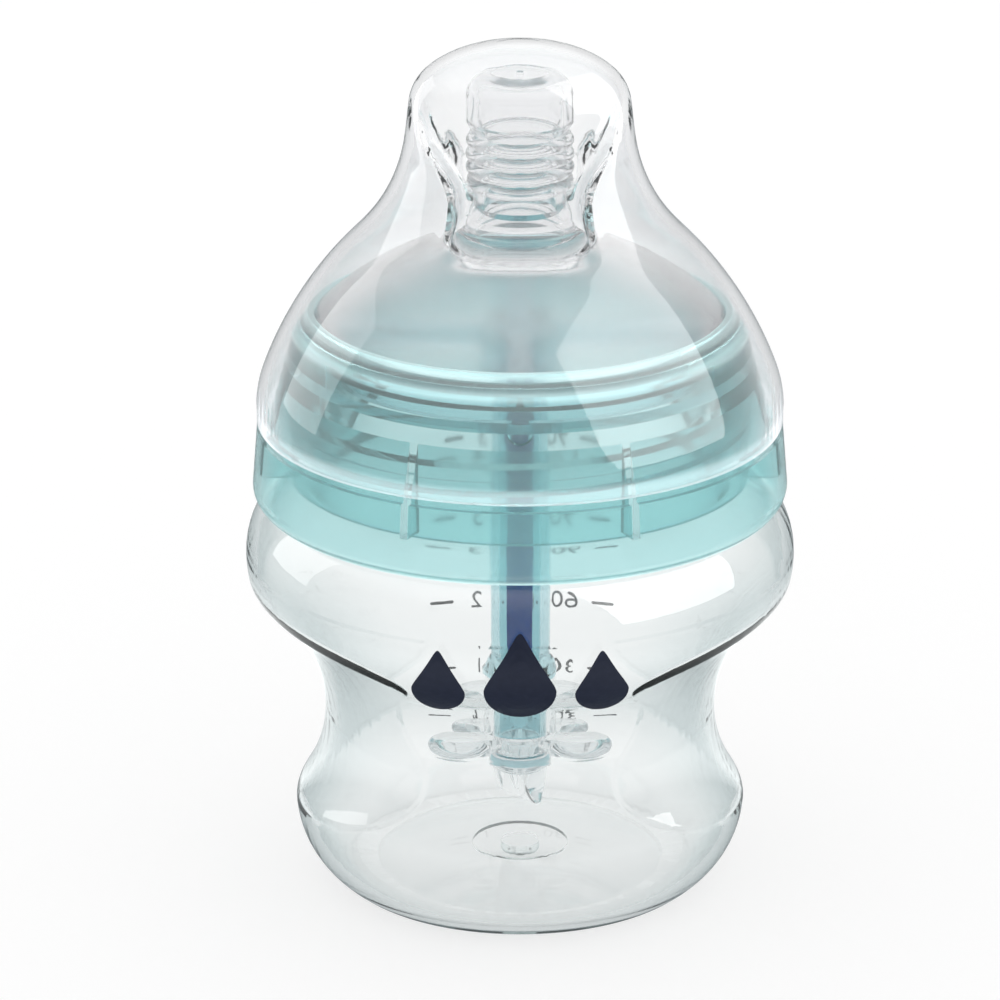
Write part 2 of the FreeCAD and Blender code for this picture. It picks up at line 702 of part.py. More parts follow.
def make_disc(document, dim):
    body = new_body(document, "vent_disc")
    top = dim.flange_bottom
    skirt_outer = dim.neck_radius - dim.bottle_wall - dim.disc_play
    skirt_inner = skirt_outer - dim.disc_skirt_wall
    rim = Outline(body, "rim_section")
    rim.start(skirt_inner, dim.rim_height - dim.disc_skirt_drop)
    rim.line(skirt_outer, dim.rim_height - dim.disc_skirt_drop)
    rim.line(skirt_outer, dim.rim_height)
    rim.line(dim.teat_flange_radius, dim.rim_height)
    rim.line(dim.teat_flange_radius, top)
    rim.line(skirt_inner, top)
    revolve(body, rim.close(), "disc_rim")

    spoke_section = Outline(body, "spoke_section")
    spoke_section.start(0, top - dim.spoke_height)
    spoke_section.line(skirt_inner + dim.disc_skirt_wall / 2, top - dim.spoke_height)
    spoke_section.line(skirt_inner + dim.disc_skirt_wall / 2, top)
    spoke_section.line(0, top)
    sketch = spoke_section.close()
    spoke = body.newObject("PartDesign::Pad", "spoke")
    spoke.Profile = sketch
    spoke.Midplane = True
    bind(spoke, Length=dim.spoke_width)
    polar_pattern(body, "spokes", [spoke], dim.spoke_count)

    socket = dim.tube_radius + dim.tube_fit
    air_height = top - dim.disc_thickness / 2
    hub = Outline(body, "hub_section")
    hub.start(socket, dim.hub_bottom)
    hub.line(dim.hub_radius, dim.hub_bottom)
    hub.line(dim.hub_radius, top)
    hub.line(0, top)
    hub.line(0, dim.tube_top + dim.tube_fit)
    hub.line(socket, dim.tube_top + dim.tube_fit)
    revolve(body, hub.close(), "hub")
    well = primitive(
        body, "SubtractiveCylinder", "hub_well",
        Radius=dim.tube_bore, Height=air_height - dim.tube_top,
    )
    place(well, "AttachmentOffset", z=dim.tube_top)
    channel = primitive(
        body, "SubtractiveCylinder", "air_channel", "XZ_Plane",
        Radius=dim.air_channel_radius, Height=dim.teat_flange_radius,
    )
    place(channel, "AttachmentOffset", y=air_height)
    return body


def make_tube(document, dim):
    body = new_body(document, "vent_tube")
    outline = Outline(body, "tube_meridian")
    outline.start(dim.tube_bore, dim.tube_spigot_bottom)
    outline.line(dim.tube_spigot_radius, dim.tube_spigot_bottom)
    outline.line(dim.tube_spigot_radius, dim.tube_collar_bottom)
    outline.line(dim.tube_collar_radius, dim.tube_collar_bottom)
    outline.line(dim.tube_collar_radius, dim.tube_collar_edge)
    outline.line(dim.tube_radius, dim.tube_collar_top)
    outline.line(dim.tube_radius, dim.tube_top)
    outline.line(dim.tube_bore, dim.tube_top)
    revolve(body, outline.close(), "tube_wall")
    return body


def make_strip(document, dim):
    strip = document.addObject("Part::Box", "heat_strip")
    bind(strip, Length=dim.strip_width, Width=dim.strip_thickness, Height=dim.strip_length)
    place(strip, "Placement", x=-(dim.strip_width / 2), y=-dim.strip_forward, z=dim.strip_bottom)
    return strip


def make_valve(document, dim):
    body = new_body(document, "star_valve")
    socket = dim.tube_spigot_radius + dim.tube_fit
    socket_floor = dim.tube_spigot_bottom - dim.tube_fit
    outline = Outline(body, "socket_section")
    outline.start(0, dim.valve_bottom)
    outline.line(dim.valve_socket_radius, dim.valve_bottom)
    outline.line(dim.valve_socket_radius, dim.tube_collar_bottom - dim.valve_top_gap)
    outline.line(socket, dim.tube_collar_bottom - dim.valve_top_gap)
    outline.line(socket, socket_floor)
    outline.line(0, socket_floor)
    revolve(body, outline.close(), "socket_wall")

    edge_round = dim.vane_height / 2
    flat_radius = dim.vane_disc_radius - edge_round
    neck = primitive(
        body, "AdditiveBox", "vane_neck",
        Length=dim.vane_centre, Width=dim.vane_neck_width, Height=dim.vane_height,
    )
    place(neck, "AttachmentOffset", y=-(dim.vane_neck_width / 2), z=dim.valve_bottom)
    pad = primitive(body, "AdditiveCylinder", "vane_pad", Radius=flat_radius, Height=dim.vane_height)
    place(pad, "AttachmentOffset", x=dim.vane_centre, z=dim.valve_bottom)
    rim = primitive(body, "AdditiveTorus", "vane_rim", Radius1=flat_radius, Radius2=edge_round)
    place(rim, "AttachmentOffset", x=dim.vane_centre, z=dim.valve_bottom + edge_round)
    polar_pattern(body, "vanes", [neck, pad, rim], dim.vane_count)

    bill = primitive(
        body, "AdditiveCylinder", "bill",
        Radius=dim.bill_radius, Height=dim.valve_bottom - dim.bill_tip + dim.vane_height / 2,
    )
    place(bill, "AttachmentOffset", z=dim.bill_tip)
    reach = dim.bill_radius + dim.bill_lip
    for side, turn in (("front", dim.bill_turn), ("back", dim.bill_turn + 180)):
        flank = Outline(body, "bill_flank_" + side)
        flank.start(dim.bill_lip / 2, dim.bill_tip - dim.bill_lip)
        flank.line(reach, dim.bill_tip - dim.bill_lip)
        flank.line(reach, dim.bill_top)
        flank.line(dim.bill_radius, dim.bill_top)
        flank.line(dim.bill_lip / 2, dim.bill_tip)
        sketch = flank.close()
        turn_sketch(sketch, turn)
        cut = body.newObject("PartDesign::Pocket", "bill_cut_" + side)
        cut.Profile = sketch
        cut.Midplane = True
        bind(cut, Length=dim.bill_radius * 3)
    bore_bottom = dim.bill_tip + dim.bill_tip_wall
    bore = primitive(
        body, "SubtractiveCone", "bill_bore",
        Radius1=dim.bill_bore_end, Radius2=dim.bill_bore, Height=socket_floor - bore_bottom,
    )
    place(bore, "AttachmentOffset", z=bore_bottom)
    bind(body, **{"Placement.Rotation.Angle": dim.vane_turn})
    return body


def make_teat(document, dim):
    body = new_body(document, "teat")
    wall = dim.teat_wall
    outline = Outline(body, "teat_meridian")
    outline.start(dim.teat_flange_inner, dim.flange_bottom)
    outline.line(dim.teat_flange_radius, dim.flange_bottom)
    outline.line(dim.teat_flange_radius, dim.flange_top)
    outline.line(dim.teat_collar_radius, dim.flange_top)
    outline.line(dim.teat_collar_radius, dim.teat_collar_height)
    outline.arc(dim.teat_ring_radius, dim.teat_ring_height, dim.teat_dome_curve, 1)
    outline.line(dim.teat_ring_radius, dim.teat_ring_height + dim.teat_ring_thickness)
    outline.line(dim.teat_base_radius, dim.teat_ring_height + dim.teat_ring_thickness)
    outline.line(dim.teat_base_radius, dim.teat_base_height)
    outline.line(dim.teat_neck_radius, dim.teat_base_height + wall)
    outline.line(dim.teat_neck_radius, dim.teat_rib_bottom)
    rib_curve = rib_radius(dim)
    for rib in range(DIMENSIONS["teat_rib_count"]):
        rib_top = dim.teat_rib_bottom + dim.teat_rib_pitch * (rib + 1)
        outline.arc(dim.teat_neck_radius, rib_top, rib_curve, 1)
    outline.line(dim.teat_tip_radius, dim.teat_tip_bottom + wall)
    outline.line(dim.teat_tip_radius, dim.teat_tip_height - dim.teat_tip_round)
    outline.arc(dim.teat_tip_radius - dim.teat_tip_round, dim.teat_tip_height, dim.teat_tip_round, 1)
    outline.line(dim.teat_hole_radius, dim.teat_tip_height)
    outline.line(dim.teat_hole_radius, dim.teat_tip_height - wall)
    outline.line(dim.teat_tip_radius - dim.teat_tip_round, dim.teat_tip_height - wall)
    outline.arc(
        dim.teat_tip_radius - wall, dim.teat_tip_height - dim.teat_tip_round,
        dim.teat_tip_round - wall, -1,
    )
    outline.line(dim.teat_tip_radius - wall, dim.teat_tip_bottom + wall)
    outline.line(dim.teat_neck_radius - wall, dim.teat_tip_bottom)
    outline.line(dim.teat_neck_radius - wall, dim.teat_base_height)
    outline.line(dim.teat_base_radius - wall, dim.teat_base_height - wall)
    outline.line(dim.teat_base_radius - wall, dim.teat_ring_height - wall / 2)
    dome_inner = dim.teat_collar_radius - wall
    outline.arc(dome_inner, dim.teat_collar_height - wall, dim.teat_dome_curve, -1)
    outline.line(dim.teat_flange_inner, dim.flange_top - wall / 2)
    revolve(body, outline.close(), "teat_wall_form")
    return body


def rib_radius(dim):
    half = dim.teat_rib_pitch / 2
    return (square(half) + square(dim.teat_rib_rise)) / (dim.teat_rib_rise * 2)


def cap_form(document, name, dim, inset):
    """The cap's bell, notched at the front and the back, and its knob, all drawn in by inset."""
    inset = as_size(inset)
    bell = new_body(document, name + "_bell")
    revolve(bell, bell_meridian(bell, name, dim, inset), name + "_bell_form")
    notch = bell.newObject("PartDesign::Pocket", name + "_notch_right")
    notch.Profile = notch_outline(bell, name, dim, inset)
    notch.Midplane = True
    bind(notch, Length=dim.cap_belly_radius * 2)
    mirrored = bell.newObject("PartDesign::Mirrored", name + "_notch_left")
    mirrored.Originals = [notch]
    mirrored.MirrorPlane = (origin_part(bell, "YZ_Plane"), [""])
    bell.Tip = mirrored

    half_width = dim.knob_half_width - inset
    half_depth = dim.knob_half_depth - inset
    base = dim.notch_floor - dim.cap_wall / 2 - inset
    column = document.addObject("Part::Loft", name + "_column")
    column.Sections = [
        oval(document, name + "_column_bottom", base, half_width, half_depth),
        oval(document, name + "_column_top", dim.knob_shoulder_height, half_width, half_depth),
    ]
    column.Solid = True
    crown = document.addObject("Part::Ellipsoid", name + "_crown")
    crown.Angle1 = -90
    bind(crown, Radius1=dim.knob_crown - inset, Radius2=half_width, Radius3=half_depth)
    place(crown, "Placement", z=dim.knob_shoulder_height)
    form = document.addObject("Part::MultiFuse", name)
    form.Shapes = [bell, column, crown]
    return form


def bell_meridian(body, name, dim, inset):
    """Rim, belly, sloping side and hollow flare up to the knob, each curve running into the next."""
    rim = dim.ring_ledge_height + dim.cap_seat_gap - inset
    belly = dim.cap_belly_curve - inset
    side = dim.cap_side_curve - inset
    flare = dim.cap_flare_curve + inset
    outline = Outline(body, name + "_meridian")
    outline.start(0, rim)
    outline.line(dim.cap_rim_radius - inset, rim)
    outline.line(dim.cap_belly_radius - inset, dim.cap_belly_up)
    outline.arc(
        dim.cap_belly_across + belly * cosine_for(dim.cap_belly_sine),
        dim.cap_belly_up + belly * dim.cap_belly_sine, belly, 1,
    )
    outline.arc(
        dim.cap_side_across + side * cosine_for(dim.cap_side_sine),
        dim.cap_side_up + side * dim.cap_side_sine, side, 1,
    )
    outline.arc(
        dim.cap_flare_across - flare * cosine_for(dim.cap_flare_sine),
        dim.cap_flare_up - flare * dim.cap_flare_sine, flare, -1,
    )
    outline.line(dim.knob_half_width - inset, dim.knob_shoulder_height)
    outline.line(0, dim.knob_shoulder_height)
    return outline.close()


def notch_outline(body, name, dim, inset):
    """Right half of a notch seen from the front: flat floor, waisted side, lean out to the knob's edge."""
    floor = dim.notch_floor - inset
    curve = dim.notch_curve - inset
    centre = dim.notch_half_width + dim.notch_curve
    foot_across = centre - curve * cosine(dim.notch_foot_angle)
    foot_up = dim.notch_narrow_height - curve * sine(dim.notch_foot_angle)
    foot_run = (foot_up - floor) * sine(dim.notch_foot_angle) / cosine(dim.notch_foot_angle)
    lean_across = centre - curve * cosine(dim.notch_lean_angle)
    lean_up = dim.notch_narrow_height + curve * sine(dim.notch_lean_angle)
    top = dim.knob_shoulder_height + dim.cap_wall
    lean_run = (top - lean_up) * sine(dim.notch_lean_angle) / cosine(dim.notch_lean_angle)
    outline = Outline(body, name + "_notch")
    outline.start(0, floor)
    outline.line(foot_across + foot_run, floor)
    outline.line(foot_across, foot_up)
    outline.arc(lean_across, lean_up, curve, -1)
    outline.line(lean_across + lean_run, top)
    outline.line(0, top)
    return outline.close()


def oval(document, name, height, half_width, half_depth):
    ring = document.addObject("Part::Ellipse", name)
    bind(ring, MajorRadius=half_width, MinorRadius=half_depth)
    place(ring, "Placement", z=height)
    return ring


def make_cap(document, dim):
    outside = cap_form(document, "cap_outside", dim, 0)
    hollow = cap_form(document, "cap_hollow", dim, dim.cap_wall)
    cap = document.addObject("Part::Cut", "travel_cap")
    cap.Base = outside
    cap.Tool = hollow
    return cap


def check_document(document, pieces):
    for thing in document.Objects:
        if "Invalid" in thing.State or "Error" in thing.State:
            raise RuntimeError(thing.Name + " failed: " + str(thing.State))
    for piece in pieces:
        shape = piece.Shape
        if shape.isNull() or not shape.isValid() or len(shape.Solids) != 1:
            raise RuntimeError(piece.Label + " isn't one valid solid")


def main():
    document = FreeCAD.newDocument("baby_bottle")
    dim = Dimensions(document)
    makers = (
        make_bottle, make_ring, make_teat, make_cap, make_disc, make_tube, make_strip, make_valve,
    )
    pieces = [maker(document, dim) for maker in makers]
    document.recompute()
    check_document(document, pieces)
    os.makedirs("parts", exist_ok=True)
    for piece in pieces:
        piece.Shape.exportStep("parts/" + piece.Label + ".step")
        print(piece.Label, round(piece.Shape.Volume, 1), "cubic mm")


main()
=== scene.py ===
# %% [markdown]
# # A baby bottle in clear plastic
# The pieces of the bottle come in as a fixed CAD frame, in metres, with +Z up and the front towards -Y.
# This lesson gives them see-through finishes, rounds the travel cap, prints the bottle, and sets up a
# white table with soft studio light.

# %% Load the frame
import json
import math

import bmesh
import bpy
from mathutils.bvhtree import BVHTree
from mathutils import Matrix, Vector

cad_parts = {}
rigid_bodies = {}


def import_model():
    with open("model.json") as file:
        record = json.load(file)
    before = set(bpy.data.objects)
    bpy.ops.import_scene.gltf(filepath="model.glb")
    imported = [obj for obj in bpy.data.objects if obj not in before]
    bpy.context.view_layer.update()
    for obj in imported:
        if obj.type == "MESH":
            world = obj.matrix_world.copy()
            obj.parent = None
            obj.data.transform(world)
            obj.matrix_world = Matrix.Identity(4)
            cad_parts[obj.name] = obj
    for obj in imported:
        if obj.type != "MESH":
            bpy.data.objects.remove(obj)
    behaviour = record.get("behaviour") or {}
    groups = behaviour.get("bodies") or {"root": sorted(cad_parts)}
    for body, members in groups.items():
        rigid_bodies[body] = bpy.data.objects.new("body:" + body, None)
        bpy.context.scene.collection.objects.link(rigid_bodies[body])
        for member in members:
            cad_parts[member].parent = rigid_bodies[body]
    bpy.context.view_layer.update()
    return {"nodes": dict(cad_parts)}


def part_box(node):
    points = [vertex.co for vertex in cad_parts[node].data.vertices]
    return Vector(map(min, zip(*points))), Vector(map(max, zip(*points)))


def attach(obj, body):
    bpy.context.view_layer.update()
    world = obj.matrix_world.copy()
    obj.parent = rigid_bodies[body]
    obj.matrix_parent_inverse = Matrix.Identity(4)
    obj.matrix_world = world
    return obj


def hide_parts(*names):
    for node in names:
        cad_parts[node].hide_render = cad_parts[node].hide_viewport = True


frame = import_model()
nodes = frame["nodes"]
scene = bpy.context.scene
print("pieces:", sorted(nodes))


# %% [markdown]
# ## Camera
# The picture was taken with a long lens from about 20 degrees above the table, so the rims show as
# shallow ellipses. A long lens from 0.75 m gives the same flat perspective. The bottle stands a little
# right of the middle, which a small lens shift gives without turning the camera.

# %% Camera
AIM_HEIGHT = 0.0539
CAMERA_DISTANCE = 0.75
CAMERA_RISE = math.radians(20.5)
FOCAL_LENGTH = 197.6
SIDE_SHIFT = -0.02

camera_data = bpy.data.cameras.new("camera")
camera_data.sensor_width = 36
camera_data.lens = FOCAL_LENGTH
camera_data.shift_x = SIDE_SHIFT
camera_data.clip_start = 0.01
camera = bpy.data.objects.new("camera", camera_data)
camera.location = (
    0, -CAMERA_DISTANCE * math.cos(CAMERA_RISE), AIM_HEIGHT + CAMERA_DISTANCE * math.sin(CAMERA_RISE),
)
camera.rotation_euler = (math.pi / 2 - CAMERA_RISE, 0, 0)
scene.collection.objects.link(camera)
scene.camera = camera
print("camera at", tuple(round(v, 3) for v in camera.location))


# %% [markdown]
# ## Table and light
# Clear plastic is only seen by what it mirrors and bends. The table and the surroundings are white, so the
# bottle looks bright inside, but mirror rays see them much darker: that draws the grey edge that a real
# studio gives with dark cards. Real cards could do it here too, but they would also shade the table, so
# Light Path tells the kinds of ray apart. Mirror rays also find a pool of light on the table around the
# foot, a sky that brightens upwards, and a soft box on either side.

# %% Node helpers
WALLS_WITH_DARK_EDGES = 1.5


def add_node(tree, kind, **settings):
    """A new node with these settings."""
    node = tree.nodes.new(kind)
    for name, value in settings.items():
        setattr(node, name, value)
    return node


def mirror_rays(tree):
    """1 for rays that a first wall mirrors, 0 for rays from deeper in or through a wall."""
    path = add_node(tree, "ShaderNodeLightPath")
    only_mirror = add_node(tree, "ShaderNodeMath", operation="SUBTRACT", use_clamp=True)
    first_walls = add_node(tree, "ShaderNodeMath", operation="LESS_THAN")
    both = add_node(tree, "ShaderNodeMath", operation="MULTIPLY")
    first_walls.inputs[1].default_value = WALLS_WITH_DARK_EDGES
    tree.links.new(path.outputs["Is Glossy Ray"], only_mirror.inputs[0])
    tree.links.new(path.outputs["Is Transmission Ray"], only_mirror.inputs[1])
    tree.links.new(path.outputs["Transmission Depth"], first_walls.inputs[0])
    tree.links.new(only_mirror.outputs["Value"], both.inputs[0])
    tree.links.new(first_walls.outputs["Value"], both.inputs[1])
    return both.outputs["Value"]


def colour_ramp(tree, stops):
    """A ramp of (place, colour) stops, where the places run from 0 to 1."""
    ramp = add_node(tree, "ShaderNodeValToRGB")
    elements = ramp.color_ramp.elements
    for place, colour in stops[1:-1]:
        elements.new(place).color = (*colour, 1)
    elements[0].color = (*stops[0][1], 1)
    elements[-1].color = (*stops[-1][1], 1)
    return ramp


def pick(piece=None):
    """Leave only this piece selected."""
    if bpy.context.object and bpy.context.object.mode != "OBJECT":
        bpy.ops.object.mode_set(mode="OBJECT")
    bpy.ops.object.select_all(action="DESELECT")
    if piece:
        piece.select_set(True)
        bpy.context.view_layer.objects.active = piece


# %% Table
TABLE_SIZE = 6
TABLE_GLOW = 0.72
CLOUD_SCALE = 2.0
TABLE_GREYS = ((0, (0.29, 0.29, 0.29)), (1, (0.31, 0.31, 0.31)))
TABLE_DARK = (0.28, 0.31, 0.32)
POOL_LIGHT = (1.5, 1.55, 1.55)
POOL = (
    (0, TABLE_DARK), (0.045, TABLE_DARK), (0.08, POOL_LIGHT), (0.14, TABLE_DARK), (1, TABLE_DARK),
)

pick()
bpy.ops.mesh.primitive_grid_add(x_subdivisions=8, y_subdivisions=8, size=TABLE_SIZE)
table = bpy.context.object
table.name = "table"
table_finish = bpy.data.materials.new("table_white")
table_finish.use_nodes = True
tree = table_finish.node_tree
tree.nodes.clear()
table_out = add_node(tree, "ShaderNodeOutputMaterial")
table_mix = add_node(tree, "ShaderNodeMixShader")
table_both = add_node(tree, "ShaderNodeAddShader")
table_glow = add_node(tree, "ShaderNodeEmission")
table_dull = add_node(tree, "ShaderNodeBsdfDiffuse")
table_dark = add_node(tree, "ShaderNodeEmission")
table_cloud = add_node(tree, "ShaderNodeTexNoise")
table_ramp = colour_ramp(tree, TABLE_GREYS)
table_place = add_node(tree, "ShaderNodeTexCoord")
table_reach = add_node(tree, "ShaderNodeVectorMath", operation="LENGTH")
table_pool = colour_ramp(tree, POOL)
table_cloud.inputs["Scale"].default_value = CLOUD_SCALE
table_glow.inputs["Strength"].default_value = TABLE_GLOW
tree.links.new(table_cloud.outputs["Fac"], table_ramp.inputs["Fac"])
tree.links.new(table_place.outputs["Object"], table_reach.inputs[0])
tree.links.new(table_reach.outputs["Value"], table_pool.inputs["Fac"])
tree.links.new(table_pool.outputs["Color"], table_dark.inputs["Color"])
tree.links.new(table_ramp.outputs["Color"], table_dull.inputs["Color"])
tree.links.new(mirror_rays(tree), table_mix.inputs["Fac"])
tree.links.new(table_dull.outputs["BSDF"], table_both.inputs[0])
tree.links.new(table_glow.outputs["Emission"], table_both.inputs[1])
tree.links.new(table_both.outputs["Shader"], table_mix.inputs[1])
tree.links.new(table_dark.outputs["Emission"], table_mix.inputs[2])
tree.links.new(table_mix.outputs["Shader"], table_out.inputs["Surface"])
table.data.materials.append(table_finish)
print("table", TABLE_SIZE, "m wide")

# %% Surroundings
WORLD_GLOW = 0.95
SKY_TINT = (0.92, 0.98, 1.0)
SKY = (("From Min", 0.30), ("From Max", 0.80), ("To Min", 0.26), ("To Max", 2.0))

world = bpy.data.worlds.new("studio")
scene.world = world
world.use_nodes = True
tree = world.node_tree
tree.nodes.clear()
world_out = add_node(tree, "ShaderNodeOutputWorld")
world_light = add_node(tree, "ShaderNodeBackground")
world_dark = add_node(tree, "ShaderNodeBackground")
world_mix = add_node(tree, "ShaderNodeMixShader")
world_light.inputs["Color"].default_value = (1.0, 1.0, 1.0, 1)
world_light.inputs["Strength"].default_value = WORLD_GLOW
world_place = add_node(tree, "ShaderNodeTexCoord")
world_height = add_node(tree, "ShaderNodeSeparateXYZ")
world_sky = add_node(tree, "ShaderNodeMapRange", interpolation_type="SMOOTHSTEP")
world_dark.inputs["Color"].default_value = (*SKY_TINT, 1)
for socket, value in SKY:
    world_sky.inputs[socket].default_value = value
tree.links.new(world_place.outputs["Generated"], world_height.inputs["Vector"])
tree.links.new(world_height.outputs["Z"], world_sky.inputs["Value"])
tree.links.new(world_sky.outputs["Result"], world_dark.inputs["Strength"])
tree.links.new(mirror_rays(tree), world_mix.inputs["Fac"])
tree.links.new(world_light.outputs["Background"], world_mix.inputs[1])
tree.links.new(world_dark.outputs["Background"], world_mix.inputs[2])
tree.links.new(world_mix.outputs["Shader"], world_out.inputs["Surface"])
print("surroundings:", world.name)


# %% Soft boxes
MOST_BOUNCES = 48
MIRROR_BOUNCES = 12


def panel(name, place, width, height, strength):
    """A glowing panel that faces the bottle and that only mirror rays see."""
    pick()
    bpy.ops.mesh.primitive_grid_add(x_subdivisions=4, y_subdivisions=4, size=1)
    board = bpy.context.object
    board.name = name
    board.location = place
    board.scale = (width, height, 1)
    to_bottle = -board.location.copy()
    to_bottle.z += AIM_HEIGHT
    board.rotation_euler = to_bottle.to_track_quat("Z", "Y").to_euler()
    glow = bpy.data.materials.new(name)
    glow.use_nodes = True
    tree = glow.node_tree
    tree.nodes.clear()
    lamp = add_node(tree, "ShaderNodeEmission")
    lamp.inputs["Strength"].default_value = strength
    out = add_node(tree, "ShaderNodeOutputMaterial")
    tree.links.new(lamp.outputs["Emission"], out.inputs["Surface"])
    board.data.materials.append(glow)
    board.visible_camera = False
    board.visible_diffuse = False
    board.visible_transmission = False
    board.visible_shadow = False
    print(name, "at", place)


panel("box_right", (0.50, -0.20, 0.36), width=0.74, height=0.72, strength=5)
panel("box_left", (-0.70, 0.25, 0.30), width=0.40, height=0.50, strength=2.6)
scene.view_settings.view_transform = "Standard"
scene.cycles.max_bounces = MOST_BOUNCES
scene.cycles.transmission_bounces = MOST_BOUNCES
scene.cycles.glossy_bounces = MIRROR_BOUNCES
scene.cycles.transparent_max_bounces = MOST_BOUNCES


# %% [markdown]
# ## Finishes
# Moulded plastic is never quite even: it has a faint orange-peel skin and patches of haze from handling.
# Both come from one node group that the clear plastic, the tinted plastic and the silicone share. A Glass
# BSDF could make them see-through, but the Principled BSDF also takes tint, haze and glow. Upright walls
# get painted shade in their colour towards their sides, in place of the dark surroundings they would
# mirror, and cut edges get a painted glow, in place of the light that such edges carry.

# %% Moulded skin
def moulded_skin():
    """A node group that turns a place into roughness and orange peel."""
    group = bpy.data.node_groups.new("moulded_skin", "ShaderNodeTree")
    face = group.interface
    face.new_socket("Place", in_out="INPUT", socket_type="NodeSocketVector")
    for name, value in (("Patch Scale", 60.0), ("Peel Scale", 900.0), ("Smooth", 0.02), ("Hazy", 0.06)):
        socket = face.new_socket(name, in_out="INPUT", socket_type="NodeSocketFloat")
        socket.default_value = value
    face.new_socket("Roughness", in_out="OUTPUT", socket_type="NodeSocketFloat")
    face.new_socket("Peel", in_out="OUTPUT", socket_type="NodeSocketFloat")
    start = add_node(group, "NodeGroupInput")
    end = add_node(group, "NodeGroupOutput")
    patches = add_node(group, "ShaderNodeTexNoise")
    peel = add_node(group, "ShaderNodeTexNoise")
    spread = add_node(group, "ShaderNodeMapRange")
    patches.inputs["Detail"].default_value = 3
    peel.inputs["Detail"].default_value = 1
    for texture, scale in ((patches, "Patch Scale"), (peel, "Peel Scale")):
        group.links.new(start.outputs["Place"], texture.inputs["Vector"])
        group.links.new(start.outputs[scale], texture.inputs["Scale"])
    spread.inputs["From Min"].default_value = 0.35
    spread.inputs["From Max"].default_value = 0.7
    group.links.new(patches.outputs["Fac"], spread.inputs["Value"])
    group.links.new(start.outputs["Smooth"], spread.inputs["To Min"])
    group.links.new(start.outputs["Hazy"], spread.inputs["To Max"])
    group.links.new(spread.outputs["Result"], end.inputs["Roughness"])
    group.links.new(peel.outputs["Fac"], end.inputs["Peel"])
    return group


SKIN = moulded_skin()
print("node group:", SKIN.name)


# %% See-through finish
PEEL_DEPTH = 0.0001
UPRIGHT_ONLY = (1, 1, 0)


def see_through(name, colour, ior, transmission, smooth, hazy, peel=0.01):
    """A moulded finish whose roughness runs from smooth to hazy."""
    material = bpy.data.materials.new(name)
    material.use_nodes = True
    tree = material.node_tree
    shader = tree.nodes["Principled BSDF"]
    shader.inputs["Base Color"].default_value = (*colour, 1)
    shader.inputs["IOR"].default_value = ior
    shader.inputs["Transmission Weight"].default_value = transmission
    place = add_node(tree, "ShaderNodeTexCoord")
    skin = add_node(tree, "ShaderNodeGroup", node_tree=SKIN)
    bump = add_node(tree, "ShaderNodeBump")
    skin.inputs["Smooth"].default_value = smooth
    skin.inputs["Hazy"].default_value = hazy
    bump.inputs["Strength"].default_value = peel
    bump.inputs["Distance"].default_value = PEEL_DEPTH
    tree.links.new(place.outputs["Object"], skin.inputs["Place"])
    tree.links.new(skin.outputs["Roughness"], shader.inputs["Roughness"])
    tree.links.new(skin.outputs["Peel"], bump.inputs["Height"])
    tree.links.new(bump.outputs["Normal"], shader.inputs["Normal"])
    return material


def tint_depth(material, colour, density):
    """Thick places and edges take more of the colour."""
    tree = material.node_tree
    tint = add_node(tree, "ShaderNodeVolumeAbsorption")
    tint.inputs["Color"].default_value = (*colour, 1)
    tint.inputs["Density"].default_value = density
    tree.links.new(tint.outputs["Volume"], tree.nodes["Material Output"].inputs["Volume"])


def paint_side_shade(material, stops):
    """Painted shade: upright walls grey in their colour where they turn away from the eye; level ones stay
    clear.
    """
    tree = material.node_tree
    facing = add_node(tree, "ShaderNodeLayerWeight")
    wall = add_node(tree, "ShaderNodeNewGeometry")
    across = add_node(tree, "ShaderNodeVectorMath", operation="MULTIPLY")
    upright = add_node(tree, "ShaderNodeVectorMath", operation="LENGTH")
    both = add_node(tree, "ShaderNodeMath", operation="MULTIPLY")
    shade = colour_ramp(tree, stops)
    facing.inputs["Blend"].default_value = 0.5
    across.inputs[1].default_value = UPRIGHT_ONLY
    tree.links.new(wall.outputs["Normal"], across.inputs[0])
    tree.links.new(across.outputs["Vector"], upright.inputs[0])
    tree.links.new(upright.outputs["Value"], both.inputs[0])
    tree.links.new(facing.outputs["Facing"], both.inputs[1])
    tree.links.new(both.outputs["Value"], shade.inputs["Fac"])
    tree.links.new(shade.outputs["Color"], tree.nodes["Principled BSDF"].inputs["Base Color"])


def by_height(tree, low, high):
    """How far up a point lies between two heights, from 0 to 1."""
    place = add_node(tree, "ShaderNodeTexCoord")
    height = add_node(tree, "ShaderNodeSeparateXYZ")
    share = add_node(tree, "ShaderNodeMapRange")
    share.inputs["From Min"].default_value = low
    share.inputs["From Max"].default_value = high
    tree.links.new(place.outputs["Object"], height.inputs["Vector"])
    tree.links.new(height.outputs["Z"], share.inputs["Value"])
    return share


def paint_edge_glow(material, stops):
    """Painted glow: cut edges emit light in place of the light that the wall carries to them, by (height,
    colour) stops.
    """
    tree = material.node_tree
    low = stops[0][0]
    high = stops[-1][0]
    share = by_height(tree, low, high)
    glow = colour_ramp(tree, [((height - low) / (high - low), colour) for height, colour in stops])
    shader = tree.nodes["Principled BSDF"]
    shader.inputs["Emission Strength"].default_value = 1
    tree.links.new(share.outputs["Result"], glow.inputs["Fac"])
    tree.links.new(glow.outputs["Color"], shader.inputs["Emission Color"])


def frost_below(material, low, high, amount):
    """Add haze below a height."""
    tree = material.node_tree
    share = by_height(tree, low, high)
    share.inputs["To Min"].default_value = amount
    share.inputs["To Max"].default_value = 0
    total = add_node(tree, "ShaderNodeMath", operation="ADD")
    roughness = tree.nodes["Principled BSDF"].inputs["Roughness"]
    tree.links.new(roughness.links[0].from_socket, total.inputs[0])
    tree.links.new(share.outputs["Result"], total.inputs[1])
    tree.links.new(total.outputs["Value"], roughness)


